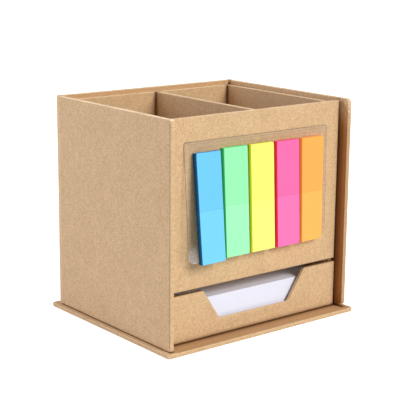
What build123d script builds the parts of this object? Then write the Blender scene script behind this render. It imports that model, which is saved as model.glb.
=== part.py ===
from build123d import *
import math
import os

# Memo holder of kraft-wrapped board, in millimetres, +Z up.
# The origin is the centre of the underside, X runs along the front and -Y is the front.
# A cover of three boards wraps the left side, the back and the right side of a pen box,
# and the right-hand board swings on the bare kraft paper of its back corner.

# Board and paper thicknesses
cover_board = 2.0
base_board_thickness = 1.8
box_board = 1.8
divider_board = 2.2
drawer_board = 1.5
lining_thickness = 0.2
hinge_paper_thickness = 0.3

# Pen box
box_width = 92.0
box_depth = 74.0
left_pen_width = 46.8
cover_rise = 1.0
inner_wall_drop = 1.0

# Cover
cover_height = 92.0
front_recess = 5.7
board_end_setback = 1.0
flap_gap = 0.9
flap_front_setback = 1.0
flap_base_gap = 0.5
left_corner_radius = 1.0
flap_corner_radius = 2.2
hinge_corner_radius = 2.0
lining_inset = 3.0

# Base
base_left_overhang = 2.2
base_right_overhang = 2.2
base_front_overhang = 2.0
base_back_overhang = 2.0
base_corner_radius = 1.2

# Drawer and its notes
drawer_front_height = 20.0
drawer_base_gap = 0.3
drawer_top_gap = 1.3
drawer_end_gap = 0.3
drawer_front_shift = 0.6
drawer_side_gap = 0.5
drawer_back_gap = 1.0
thumb_top_width = 55.5
thumb_bottom_width = 37.6
thumb_depth = 13.5
thumb_corner_radius = 1.0
drawer_corner_radius = 0.8
note_stack_height = 14.2
note_front_gap = 1.2
note_side_gap = 1.2
note_back_gap = 1.0

# Flag carrier
flag_count = 5
flag_height = 44.0
flag_gap = 1.75
flag_side_margin = 4.1
flag_pad_thickness = 2.3
film_thickness = 0.2
film_left_margin = 8.4
film_right_margin = 7.2
film_top_margin = 3.9
film_below_box_top = 9.6
film_corner_radius = 2.0
tape_thickness = 0.2
tape_height = 3.0
tape_side_inset = 2.0
film_bend_length = 1.0
film_lift = 4.7
film_left_lift_share = 0.77
film_right_lift_share = 0.10
flag_left_lift_shares = (1.0, 0.60, 0.47, 0.45, 0.33)
flag_right_lift_shares = (0.87, 0.54, 0.46, 0.42, 0.14)
flag_drop = 0.6
flag_drop_shares = (1.0, 0.0, 0.1, 0.3, 0.5)

# Edge rounding of wrapped boards, as shares of their thickness
wrapped_edge_share = 0.2
box_edge_share = 0.15

# Places along X
base_width = base_left_overhang + cover_board + box_width + flap_gap + cover_board + base_right_overhang
cover_left_x = -base_width / 2 + base_left_overhang
box_left_x = cover_left_x + cover_board
box_right_x = box_left_x + box_width
flap_inner_x = box_right_x + flap_gap
flap_outer_x = flap_inner_x + cover_board
box_middle_x = (box_left_x + box_right_x) / 2
back_board_left_x = box_left_x + board_end_setback
divider_left_x = box_left_x + box_board + left_pen_width

# Places along Y
base_depth = base_front_overhang + front_recess + box_depth + cover_board + base_back_overhang
cover_front_y = -base_depth / 2 + base_front_overhang
box_front_y = cover_front_y + front_recess
cover_inner_y = box_front_y + box_depth
cover_outer_y = cover_inner_y + cover_board
board_end_y = cover_inner_y - board_end_setback
side_wall_front_y = box_front_y + box_board
back_wall_front_y = cover_inner_y - box_board
pen_depth = back_wall_front_y - side_wall_front_y

# Heights
base_top_z = lining_thickness + base_board_thickness
cover_top_z = base_top_z + cover_height
box_top_z = cover_top_z - cover_rise
inner_wall_top_z = box_top_z - inner_wall_drop
inner_wall_height = inner_wall_top_z - base_top_z
drawer_bottom_z = base_top_z + drawer_base_gap
drawer_top_z = drawer_bottom_z + drawer_front_height
bay_top_z = drawer_top_z + drawer_top_gap
pen_floor_top_z = bay_top_z + box_board

edge_radius = cover_board * wrapped_edge_share
base_edge_radius = base_board_thickness * wrapped_edge_share
box_edge_radius = box_board * box_edge_share
drawer_edge_radius = drawer_board * box_edge_share

os.makedirs("parts", exist_ok=True)


def save(piece, name):
    piece.part.label = name
    export_step(piece.part, f"parts/{name}.step")


# Base board, wrapped in kraft paper, wider than what stands on it
with BuildPart() as base_board:
    with BuildSketch(Plane.XY.offset(lining_thickness)):
        RectangleRounded(base_width, base_depth, base_corner_radius)
    extrude(amount=base_board_thickness)
    fillet(base_board.faces().filter_by(Axis.Z).edges(), base_edge_radius)
save(base_board, "base_board")

# Lining sheet that covers the turned-in wrap under the base
with BuildPart() as base_lining:
    with BuildSketch():
        Rectangle(base_width - 2 * lining_inset, base_depth - 2 * lining_inset)
    extrude(amount=lining_thickness)
save(base_lining, "base_lining")

# Left cover board, glued to the box and standing forward of its face
with BuildPart() as left_cover_board:
    with BuildSketch(Plane.YZ.offset(cover_left_x)) as left_outline:
        with Locations((cover_front_y, base_top_z)):
            Rectangle(board_end_y - cover_front_y, cover_height, align=Align.MIN)
        fillet(left_outline.vertices().group_by(Axis.X)[0], left_corner_radius)
    extrude(amount=cover_board)
    left_rim = left_cover_board.faces().filter_by(Axis.X).edges()
    fillet(left_rim.filter_by(lambda edge: edge.center().Y < board_end_y - edge_radius), edge_radius)
save(left_cover_board, "left_cover_board")

# Back cover board, glued to the back of the box
with BuildPart() as back_cover_board:
    with BuildSketch(Plane.XZ.offset(-cover_inner_y)):
        with Locations((back_board_left_x, base_top_z)):
            Rectangle(box_right_x - back_board_left_x, cover_height, align=Align.MIN)
    extrude(amount=-cover_board)
    back_rim = back_cover_board.faces().filter_by(Axis.Y).edges().filter_by(Axis.X)
    fillet(back_rim, edge_radius)
save(back_cover_board, "back_cover_board")


# Bare stretch of wrapping paper round a back corner, from the back board's end to a side board's end
def corner_paper_outline(back_board_end_x, corner_x):
    outward = math.copysign(1, corner_x)
    arc_end_x = corner_x - outward * hinge_corner_radius
    arc_end_y = cover_outer_y - hinge_corner_radius
    inner_x = corner_x - outward * hinge_paper_thickness
    inner_y = cover_outer_y - hinge_paper_thickness
    inner_radius = hinge_corner_radius - hinge_paper_thickness
    diagonal = math.sqrt(2) / 2
    outer_middle = (arc_end_x + outward * hinge_corner_radius * diagonal, arc_end_y + hinge_corner_radius * diagonal)
    inner_middle = (arc_end_x + outward * inner_radius * diagonal, arc_end_y + inner_radius * diagonal)
    with BuildSketch() as outline:
        with BuildLine():
            Line((back_board_end_x, cover_outer_y), (arc_end_x, cover_outer_y))
            ThreePointArc((arc_end_x, cover_outer_y), outer_middle, (corner_x, arc_end_y))
            Line((corner_x, arc_end_y), (corner_x, board_end_y))
            Line((corner_x, board_end_y), (inner_x, board_end_y))
            Line((inner_x, board_end_y), (inner_x, arc_end_y))
            ThreePointArc((inner_x, arc_end_y), inner_middle, (arc_end_x, inner_y))
            Line((arc_end_x, inner_y), (back_board_end_x, inner_y))
            Line((back_board_end_x, inner_y), (back_board_end_x, cover_outer_y))
        make_face()
    return outline.sketch


with BuildPart() as left_corner_paper:
    with BuildSketch(Plane.XY.offset(base_top_z)):
        add(corner_paper_outline(back_board_left_x, cover_left_x))
    extrude(amount=cover_height)
save(left_corner_paper, "left_corner_paper")

# The right-hand corner paper is the hinge of the flap
flap_height = cover_height - flap_base_gap
with BuildPart() as flap_hinge_paper:
    with BuildSketch(Plane.XY.offset(base_top_z + flap_base_gap)):
        add(corner_paper_outline(box_right_x, flap_outer_x))
    extrude(amount=flap_height)
save(flap_hinge_paper, "flap_hinge_paper")

# Flap board, free of the base and of the box
flap_front_y = cover_front_y + flap_front_setback
with BuildPart() as flap_board:
    with BuildSketch(Plane.YZ.offset(flap_inner_x)) as flap_outline:
        with Locations((flap_front_y, base_top_z + flap_base_gap)):
            Rectangle(board_end_y - flap_front_y, flap_height, align=Align.MIN)
        fillet(flap_outline.vertices().group_by(Axis.X)[0], flap_corner_radius)
    extrude(amount=cover_board)
    flap_rim = flap_board.faces().filter_by(Axis.X).edges()
    fillet(flap_rim.filter_by(lambda edge: edge.center().Y < board_end_y - edge_radius), edge_radius)
save(flap_board, "flap_board")

# Lining sheet over the turned-in wrap on the flap's inner face
with BuildPart() as flap_lining:
    with BuildSketch(Plane.YZ.offset(flap_inner_x - lining_thickness)):
        with Locations((flap_front_y + lining_inset, base_top_z + flap_base_gap + lining_inset)):
            Rectangle(
                board_end_y - flap_front_y - 2 * lining_inset,
                flap_height - 2 * lining_inset,
                align=Align.MIN,
            )
    extrude(amount=lining_thickness)
save(flap_lining, "flap_lining")

# Side walls of the pen box, which run down to the base and guide the drawer
side_wall_depth = cover_inner_y - side_wall_front_y
for side_name, side_wall_x in (("left", box_left_x), ("right", box_right_x - box_board)):
    with BuildPart() as box_side_wall:
        with BuildSketch(Plane.XY.offset(base_top_z)):
            with Locations((side_wall_x, side_wall_front_y)):
                Rectangle(box_board, side_wall_depth, align=Align.MIN)
        extrude(amount=inner_wall_height)
        top_edges = box_side_wall.faces().sort_by(Axis.Z)[-1].edges().filter_by(Axis.Y)
        fillet(top_edges, box_edge_radius)
    save(box_side_wall, f"box_{side_name}_wall")

# Back wall, between the side walls and against the back cover board
with BuildPart() as box_back_wall:
    with BuildSketch(Plane.XY.offset(base_top_z)):
        with Locations((box_middle_x, (back_wall_front_y + cover_inner_y) / 2)):
            Rectangle(box_width - 2 * box_board, box_board)
    extrude(amount=inner_wall_height)
    fillet(box_back_wall.faces().sort_by(Axis.Z)[-1].edges().filter_by(Axis.X), box_edge_radius)
save(box_back_wall, "box_back_wall")

# Front wall, across the ends of the side walls and over the drawer
with BuildPart() as box_front_wall:
    with BuildSketch(Plane.XY.offset(bay_top_z)):
        with Locations((box_middle_x, (box_front_y + side_wall_front_y) / 2)):
            Rectangle(box_width, box_board)
    extrude(amount=box_top_z - bay_top_z)
    face_rim = box_front_wall.faces().sort_by(Axis.Y)[0].edges()
    top_back_edge = box_front_wall.faces().sort_by(Axis.Z)[-1].edges().sort_by(Axis.Y)[-1]
    fillet(face_rim + [top_back_edge], box_edge_radius)
save(box_front_wall, "box_front_wall")

# Floor of the pen box, which is the roof over the drawer
with BuildPart() as pen_floor:
    with BuildSketch(Plane.XY.offset(bay_top_z)):
        with Locations((box_middle_x, side_wall_front_y)):
            Rectangle(box_width - 2 * box_board, pen_depth, align=(Align.CENTER, Align.MIN))
    extrude(amount=box_board)
save(pen_floor, "pen_floor")

# Divider, from front to back
with BuildPart() as divider:
    with BuildSketch(Plane.XY.offset(pen_floor_top_z)):
        with Locations((divider_left_x, side_wall_front_y)):
            Rectangle(divider_board, pen_depth, align=Align.MIN)
    extrude(amount=inner_wall_top_z - pen_floor_top_z)
    fillet(divider.faces().sort_by(Axis.Z)[-1].edges().filter_by(Axis.Y), divider_board * box_edge_share)
save(divider, "divider")

# Drawer front, with its trapezoid thumb cut-out, which sits a little to the right
drawer_front_width = box_width - 2 * drawer_end_gap
drawer_front_x = box_middle_x + drawer_front_shift
thumb_bottom_z = drawer_top_z - thumb_depth
with BuildPart() as drawer_front:
    with BuildSketch(Plane.XZ.offset(-box_front_y)) as front_outline:
        with Locations((drawer_front_x, drawer_bottom_z)):
            Rectangle(drawer_front_width, drawer_front_height, align=(Align.CENTER, Align.MIN))
        fillet(front_outline.vertices(), drawer_corner_radius)
        with BuildLine():
            Polyline(
                (drawer_front_x - thumb_top_width / 2, drawer_top_z),
                (drawer_front_x - thumb_bottom_width / 2, thumb_bottom_z),
                (drawer_front_x + thumb_bottom_width / 2, thumb_bottom_z),
                (drawer_front_x + thumb_top_width / 2, drawer_top_z),
                close=True,
            )
        make_face(mode=Mode.SUBTRACT)
        cut_vertices = front_outline.vertices().filter_by(
            lambda vertex: abs(vertex.X - drawer_front_x) < drawer_front_width / 2 - 2 * drawer_corner_radius
        )
        fillet(cut_vertices, thumb_corner_radius)
    extrude(amount=-drawer_board)
    fillet(drawer_front.faces().sort_by(Axis.Y)[0].edges(), drawer_edge_radius)
save(drawer_front, "drawer_front")

# Drawer tray behind the front: bottom, sides and back
drawer_width = box_width - 2 * box_board - 2 * drawer_side_gap
tray_front_y = box_front_y + drawer_board
tray_back_y = back_wall_front_y - drawer_back_gap
tray_depth = tray_back_y - tray_front_y
tray_floor_z = drawer_bottom_z + drawer_board
tray_side_height = drawer_top_z - tray_floor_z

with BuildPart() as drawer_bottom:
    with BuildSketch(Plane.XY.offset(drawer_bottom_z)):
        with Locations((box_middle_x, tray_front_y)):
            Rectangle(drawer_width, tray_depth, align=(Align.CENTER, Align.MIN))
    extrude(amount=drawer_board)
save(drawer_bottom, "drawer_bottom")

tray_left_x = box_middle_x - drawer_width / 2
for side_name, tray_side_x in (("left", tray_left_x), ("right", tray_left_x + drawer_width - drawer_board)):
    with BuildPart() as drawer_side:
        with BuildSketch(Plane.XY.offset(tray_floor_z)):
            with Locations((tray_side_x, tray_front_y)):
                Rectangle(drawer_board, tray_depth, align=Align.MIN)
        extrude(amount=tray_side_height)
        fillet(drawer_side.faces().sort_by(Axis.Z)[-1].edges().filter_by(Axis.Y), drawer_edge_radius)
    save(drawer_side, f"drawer_{side_name}_side")

tray_inner_width = drawer_width - 2 * drawer_board
with BuildPart() as drawer_back:
    with BuildSketch(Plane.XY.offset(tray_floor_z)):
        with Locations((box_middle_x, tray_back_y)):
            Rectangle(tray_inner_width, drawer_board, align=(Align.CENTER, Align.MAX))
    extrude(amount=tray_side_height)
    fillet(drawer_back.faces().sort_by(Axis.Z)[-1].edges().filter_by(Axis.X), drawer_edge_radius)
save(drawer_back, "drawer_back")

# Stack of loose note sheets in the tray
note_depth = tray_depth - drawer_board - note_front_gap - note_back_gap
with BuildPart() as note_stack:
    with BuildSketch(Plane.XY.offset(tray_floor_z)):
        with Locations((box_middle_x, tray_front_y + note_front_gap)):
            Rectangle(tray_inner_width - 2 * note_side_gap, note_depth, align=(Align.CENTER, Align.MIN))
    extrude(amount=note_stack_height)
save(note_stack, "note_stack")

# Flag carrier: a strip of tape, a clear film and one pad of flags for each colour
film_left_x = box_left_x + film_left_margin
film_width = box_width - film_left_margin - film_right_margin
film_height = film_top_margin + flag_height
film_top_z = box_top_z - film_below_box_top
film_back_y = box_front_y - tape_thickness
flags_width = film_width - 2 * flag_side_margin
flag_width = (flags_width - (flag_count - 1) * flag_gap) / flag_count
flag_pitch = flag_width + flag_gap
first_flag_x = film_left_x + flag_side_margin

with BuildPart() as film_tape:
    with BuildSketch(Plane.XZ.offset(-box_front_y)):
        with Locations((film_left_x + film_width / 2, film_top_z)):
            Rectangle(film_width - 2 * tape_side_inset, tape_height, align=(Align.CENTER, Align.MAX))
    extrude(amount=tape_thickness)
save(film_tape, "film_tape")


# Place on the film's side view, that far down the film and that far in front of its back.
# The film is flat where the tape holds it, bends in a short arc below the tape, and runs on
# straight, because the pads stiffen it. Lift is how far its lower end stands off the wall.
def film_point(lift, down, stand_off):
    straight_length = film_height - tape_height - film_bend_length
    tilt = math.asin(lift / (straight_length + film_bend_length / 2))
    bend_radius = film_bend_length / tilt
    turned = tilt * min(max((down - tape_height) / film_bend_length, 0), 1)
    past_bend = max(down - tape_height - film_bend_length, 0)
    reach = bend_radius - stand_off
    point_y = film_back_y - bend_radius + reach * math.cos(turned) - past_bend * math.sin(turned)
    drop = min(down, tape_height) + reach * math.sin(turned) + past_bend * math.cos(turned)
    return (point_y, film_top_z - drop)


def film_outline(lift):
    bend_stops = (tape_height, tape_height + film_bend_length / 2, tape_height + film_bend_length)
    near_bend = [film_point(lift, down, 0) for down in bend_stops]
    far_bend = [film_point(lift, down, film_thickness) for down in reversed(bend_stops)]
    near_top, near_end = film_point(lift, 0, 0), film_point(lift, film_height, 0)
    far_top, far_end = film_point(lift, 0, film_thickness), film_point(lift, film_height, film_thickness)
    with BuildSketch() as outline:
        with BuildLine():
            Line(near_top, near_bend[0])
            ThreePointArc(*near_bend)
            Polyline(near_bend[-1], near_end, far_end, far_bend[0])
            ThreePointArc(*far_bend)
            Polyline(far_bend[-1], far_top, near_top)
        make_face()
    return outline.sketch


def pad_outline(lift, drop):
    top = film_top_margin + drop
    foot = top + flag_height
    front = film_thickness + flag_pad_thickness
    corners = ((top, film_thickness), (foot, film_thickness), (foot, front), (top, front))
    with BuildSketch() as outline:
        with BuildLine():
            Polyline(*[film_point(lift, down, stand_off) for down, stand_off in corners], close=True)
        make_face()
    return outline.sketch


flag_places = []
for left_share, right_share in zip(flag_left_lift_shares, flag_right_lift_shares):
    flag_left_x = first_flag_x + len(flag_places) * flag_pitch
    flag_places.append(((flag_left_x, left_share), (flag_left_x + flag_width, right_share)))

# The film has a section at its ends and at both edges of each pad
film_sections = [(film_left_x, film_left_lift_share)]
for flag_edges in flag_places:
    film_sections.extend(flag_edges)
film_sections.append((film_left_x + film_width, film_right_lift_share))

with BuildPart() as flag_film:
    for section_x, lift_share in film_sections:
        with BuildSketch(Plane.YZ.offset(section_x)):
            add(film_outline(film_lift * lift_share))
    loft(ruled=True)
    with BuildSketch(Plane.XZ.offset(-box_front_y)):
        with Locations((film_left_x + film_width / 2, film_top_z - film_height / 2)):
            RectangleRounded(film_width, film_height, film_corner_radius)
    extrude(amount=2 * film_lift, mode=Mode.INTERSECT)
save(flag_film, "flag_film")

flag_names = ("blue", "green", "yellow", "pink", "orange")
for flag_name, flag_edges, drop_share in zip(flag_names, flag_places, flag_drop_shares):
    with BuildPart() as flag_pad:
        for section_x, lift_share in flag_edges:
            with BuildSketch(Plane.YZ.offset(section_x)):
                add(pad_outline(film_lift * lift_share, flag_drop * drop_share))
        loft(ruled=True)
    save(flag_pad, f"flag_pad_{flag_name}")

# Hinge axis and travel, for the record
hinge_inset = hinge_corner_radius * (1 - math.pi / 4)
print("flap hinge axis", flap_outer_x - hinge_inset, cover_outer_y - hinge_inset)
print("base", base_width, base_depth, "top", cover_top_z, "tray depth", tray_depth)
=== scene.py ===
import math

import bmesh
import bpy
from mathutils import Matrix, Vector, noise


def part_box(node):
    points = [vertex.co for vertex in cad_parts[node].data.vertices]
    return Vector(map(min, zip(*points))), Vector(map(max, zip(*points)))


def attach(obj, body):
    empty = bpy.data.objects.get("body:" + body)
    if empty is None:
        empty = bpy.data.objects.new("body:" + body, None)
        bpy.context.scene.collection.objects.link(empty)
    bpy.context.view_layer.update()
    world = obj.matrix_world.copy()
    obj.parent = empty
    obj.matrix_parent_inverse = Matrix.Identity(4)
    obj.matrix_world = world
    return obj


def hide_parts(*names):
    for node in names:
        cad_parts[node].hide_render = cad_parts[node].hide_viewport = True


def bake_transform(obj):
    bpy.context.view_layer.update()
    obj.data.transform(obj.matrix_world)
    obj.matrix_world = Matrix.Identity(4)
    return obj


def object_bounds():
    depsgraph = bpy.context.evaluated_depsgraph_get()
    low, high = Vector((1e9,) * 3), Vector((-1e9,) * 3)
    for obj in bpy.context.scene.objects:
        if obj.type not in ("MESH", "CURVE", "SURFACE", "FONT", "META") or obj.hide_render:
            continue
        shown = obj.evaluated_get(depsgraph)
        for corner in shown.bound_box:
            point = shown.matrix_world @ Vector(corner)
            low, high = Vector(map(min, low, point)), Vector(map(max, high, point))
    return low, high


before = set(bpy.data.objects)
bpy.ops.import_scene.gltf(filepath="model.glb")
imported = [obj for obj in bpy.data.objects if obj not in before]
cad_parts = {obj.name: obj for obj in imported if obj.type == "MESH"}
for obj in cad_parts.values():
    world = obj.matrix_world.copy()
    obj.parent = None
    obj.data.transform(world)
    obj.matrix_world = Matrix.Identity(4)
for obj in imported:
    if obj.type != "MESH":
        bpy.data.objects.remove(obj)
cad_low, cad_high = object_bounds()

# Base
# A sheet of greyboard wrapped in brown kraft paper, which is glued over the edges, folded at the corners
# and turned in underneath. A sheet of the same paper lines the underside and hides the turned-in edges.


class Reading:
    """A number, colour or place read at each point of a surface, so that sums on it are written plainly."""

    def __init__(self, tree, socket=None):
        self.tree = tree
        self.socket = socket

    def node(self, kind, settings, sockets, output=0):
        """Adds a node, sets its settings first, then its sockets, and reads one of its outputs."""
        made = self.tree.nodes.new(kind)
        for setting, value in settings.items():
            setattr(made, setting, value)
        for key, value in sockets.items():
            if isinstance(value, Reading):
                self.tree.links.new(value.socket, made.inputs[key])
            else:
                made.inputs[key].default_value = value
        return Reading(self.tree, made.outputs[output] if len(made.outputs) else None)

    def other_output(self, output):
        """Another output of the node that this reading comes from."""
        return Reading(self.tree, self.socket.node.outputs[output])

    def sum(self, operation, first, second=0.0):
        """A sum on one or two numbers."""
        return self.node("ShaderNodeMath", {"operation": operation}, {0: first, 1: second})

    def __add__(self, other):
        return self.sum("ADD", self, other)

    def __radd__(self, other):
        return self.sum("ADD", other, self)

    def __sub__(self, other):
        return self.sum("SUBTRACT", self, other)

    def __rsub__(self, other):
        return self.sum("SUBTRACT", other, self)

    def __mul__(self, other):
        return self.sum("MULTIPLY", self, other)

    def __rmul__(self, other):
        return self.sum("MULTIPLY", other, self)

    def __truediv__(self, other):
        return self.sum("DIVIDE", self, other)

    def __abs__(self):
        return self.sum("ABSOLUTE", self)

    def vector(self, operation, other=(0.0, 0.0, 0.0), output="Vector"):
        """A sum on a place or a direction."""
        return self.node("ShaderNodeVectorMath", {"operation": operation}, {0: self, 1: other}, output)

    def cloud(self, per_metre, detail):
        """A soft cloud of numbers round a half, laid over this place."""
        sockets = {"Vector": self, "Scale": per_metre, "Detail": detail}
        return self.node("ShaderNodeTexNoise", {}, sockets, "Fac")

    def step(self, low, high):
        """Runs smoothly from 0 at low to 1 at high."""
        return self.node(
            "ShaderNodeMapRange",
            {"interpolation_type": "SMOOTHSTEP"},
            {"Value": self, "From Min": low, "From Max": high},
        )

    def tint(self, share, under, over):
        """Mixes two colours, with the second showing by the share."""
        return self.node("ShaderNodeMix", {"data_type": "RGBA"}, {0: share, 6: under, 7: over}, 2)


def shaded(colour, *levels):
    """A colour with all its parts at one level, or each at its own, and its opacity of 1."""
    levels = levels if len(levels) == 3 else levels * 3
    return (*[min(1.0, part * level) for part, level in zip(colour, levels)], 1.0)


def new_finish(name):
    """An empty material and a reading on its tree."""
    finish = bpy.data.materials.new(name)
    finish.use_nodes = True
    finish.node_tree.nodes.clear()
    return finish, Reading(finish.node_tree)


def close_finish(start, shader):
    """Joins a shader to the material's output."""
    start.node("ShaderNodeOutputMaterial", {}, {"Surface": shader})


def joint(first, second, reach):
    """The middle and half size of the place where two boards meet, and how far and how much painted shade
    darkens it.
    """
    first_low, first_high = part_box(first)
    second_low, second_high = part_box(second)
    lows = [max(one, other) for one, other in zip(first_low, second_low)]
    highs = [min(one, other) for one, other in zip(first_high, second_high)]
    middle = Vector([(low + high) / 2 for low, high in zip(lows, highs)])
    half = Vector([abs(high - low) / 2 for low, high in zip(lows, highs)])
    return middle, half, reach, 1.0


def kraft_paper(name, tone, joints=()):
    """Brown kraft paper: mottled grain, pale and dark fibres, a few dark flecks, and paler rubbed edges.

    Painted shade darkens it towards the joints of boards and where a piece is marked with it, and a painted
    highlight makes the rims that face up paler.
    """
    formation_per_metre = 130.0
    mottle_per_metre = 900.0
    grain_per_metre = 2100.0
    pale_fibres_per_metre = 420.0
    pale_fibre_width = 0.02
    dark_fibres_per_metre = 500.0
    dark_fibre_width = 0.018
    fibre_breaks_per_fibre = 2.3
    fibre_breaks = (0.5, 0.6)
    flecks_per_metre = 95.0
    fleck_kinds = (0.8, 0.82)
    fleck_radii = (0.012, 0.034)
    mottle_shift = 1.3
    grain_shift = 5.9
    pale_fibre_shift = 3.1
    dark_fibre_shift = 7.7
    formation_share = 0.6
    mottle_share = 1.3
    grain_share = 2.8
    pale_fibre_share = 0.18
    dark_fibre_share = 0.2
    fleck_share = 0.7
    rub_and_highlight_share = 0.35
    joint_shade_fade = 3.0
    grain_low = (0.87, 0.846, 0.81)
    grain_high = (1.13, 1.157, 1.2)
    pale_fibre = (1.3, 1.36, 1.45)
    dark_fibre = (0.6, 0.56, 0.5)
    dark_fleck = 0.25
    rubbed_and_lit = (1.5, 1.72, 2.1)
    painted_shade_levels = (0.6, 0.39, 0.24)
    deep_painted_shade_levels = (0.32, 0.16, 0.07)
    joint_shade_levels = (0.25, 0.13, 0.05)
    formation_rise = 0.6
    mottle_rise = 0.5
    grain_rise = 0.5
    pale_fibre_rise = 0.4
    dark_fibre_dip = 0.25
    relief_depth = 0.00006
    finish, start = new_finish(name)
    place = start.node("ShaderNodeTexCoord", {}, {}, "Object")

    def cloud(per_metre, detail, shift=0.0):
        """A cloud that is moved aside, so that it doesn't fall together with the others."""
        return place.vector("ADD", (shift, shift, -shift)).cloud(per_metre, detail)

    def fibres(per_metre, width, shift):
        """Short fibres: thin lines through a cloud, broken by a finer one."""
        line = 1.0 - abs(cloud(per_metre, 1.0, shift) - 0.5) / width
        breaks = cloud(per_metre * fibre_breaks_per_fibre, 1.0, shift * 2.0).step(*fibre_breaks)
        return line.step(0.0, 1.0) * breaks

    formation = cloud(formation_per_metre, 3.0)
    mottle = cloud(mottle_per_metre, 2.0, mottle_shift)
    grain = cloud(grain_per_metre, 1.0, grain_shift)
    pale = fibres(pale_fibres_per_metre, pale_fibre_width, pale_fibre_shift)
    dark = fibres(dark_fibres_per_metre, dark_fibre_width, dark_fibre_shift)
    cells = {"Vector": place, "Scale": flecks_per_metre, "Randomness": 1.0}
    near_fleck = start.node("ShaderNodeTexVoronoi", {}, cells, "Distance")
    fleck_kind = start.node("ShaderNodeTexVoronoi", {}, cells, "Color")
    chosen = start.node("ShaderNodeSeparateColor", {}, {0: fleck_kind}).step(*fleck_kinds)
    fleck = (1.0 - near_fleck.step(*fleck_radii)) * chosen
    rub_and_highlight = start.node("ShaderNodeAttribute", {"attribute_name": "rub_and_highlight"}, {}, "Fac")
    painted_shade = start.node("ShaderNodeAttribute", {"attribute_name": "painted_shade"}, {}, "Fac")

    shade = (formation - 0.5) * formation_share + (mottle - 0.5) * mottle_share
    shade = shade + (grain - 0.5) * grain_share + 0.5
    colour = start.tint(shade, shaded(tone, *grain_low), shaded(tone, *grain_high))
    colour = start.tint(pale * pale_fibre_share, colour, shaded(tone, *pale_fibre))
    colour = start.tint(dark * dark_fibre_share, colour, shaded(tone, *dark_fibre))
    colour = start.tint(fleck * fleck_share, colour, shaded(tone, dark_fleck))
    # Paler rubbed edges, with a painted highlight on the rims that face up
    colour = start.tint(rub_and_highlight * rub_and_highlight_share, colour, shaded(tone, *rubbed_and_lit))
    # Painted shade, in two depths, where a piece is marked with it
    colour = start.tint(painted_shade, colour, shaded(tone, *painted_shade_levels))
    colour = start.tint(painted_shade - 1.0, colour, shaded(tone, *deep_painted_shade_levels))
    # Painted shade near the joints of boards, darkest in the joint itself
    for middle, half, reach, share in joints:
        aside = place.vector("SUBTRACT", middle).vector("ABSOLUTE").vector("SUBTRACT", half)
        off = aside.vector("MAXIMUM").vector("LENGTH", output="Value")
        near = start.sum("POWER", start.sum("MAXIMUM", 1.0 - off / reach, 0.0), joint_shade_fade)
        colour = start.tint(near * share, colour, shaded(tone, *joint_shade_levels))
    height = formation * formation_rise + mottle * mottle_rise + grain * grain_rise
    height = height + pale * pale_fibre_rise - dark * dark_fibre_dip
    bumps = {"Strength": 0.5, "Distance": relief_depth, "Height": height}
    relief = start.node("ShaderNodeBump", {}, bumps, "Normal")
    paper = start.node(
        "ShaderNodeBsdfPrincipled",
        {},
        {
            "Base Color": colour,
            "Roughness": 0.9 - grain * 0.1,
            "Specular IOR Level": 0.2,
            "Normal": relief,
        },
    )
    close_finish(start, paper)
    return finish


def dress(piece, name, body, node):
    """Puts a piece on its body, in place of the CAD node that it stands for."""
    piece.name = name
    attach(piece, body)
    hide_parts(node)


def new_piece(name, mesh, finishes):
    """A piece at the origin, with its finishes."""
    piece = bpy.data.objects.new(name, mesh)
    bpy.context.scene.collection.objects.link(piece)
    for finish in finishes:
        mesh.materials.append(finish)
    return piece


def eased(value, low, high):
    """Runs smoothly from 0 at low to 1 at high."""
    way = min(1.0, max(0.0, (value - low) / (high - low)))
    return way * way * (3 - 2 * way)


same_point = 0.000002
crease_angle = math.radians(35)
# How squarely a face looks one way where a mark begins to show on it, and where the mark is whole
half_facing = (0.3, 0.7)
square_facing = (0.8, 0.97)
axes = (Vector((1.0, 0.0, 0.0)), Vector((0.0, 1.0, 0.0)), Vector((0.0, 0.0, 1.0)))


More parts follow.
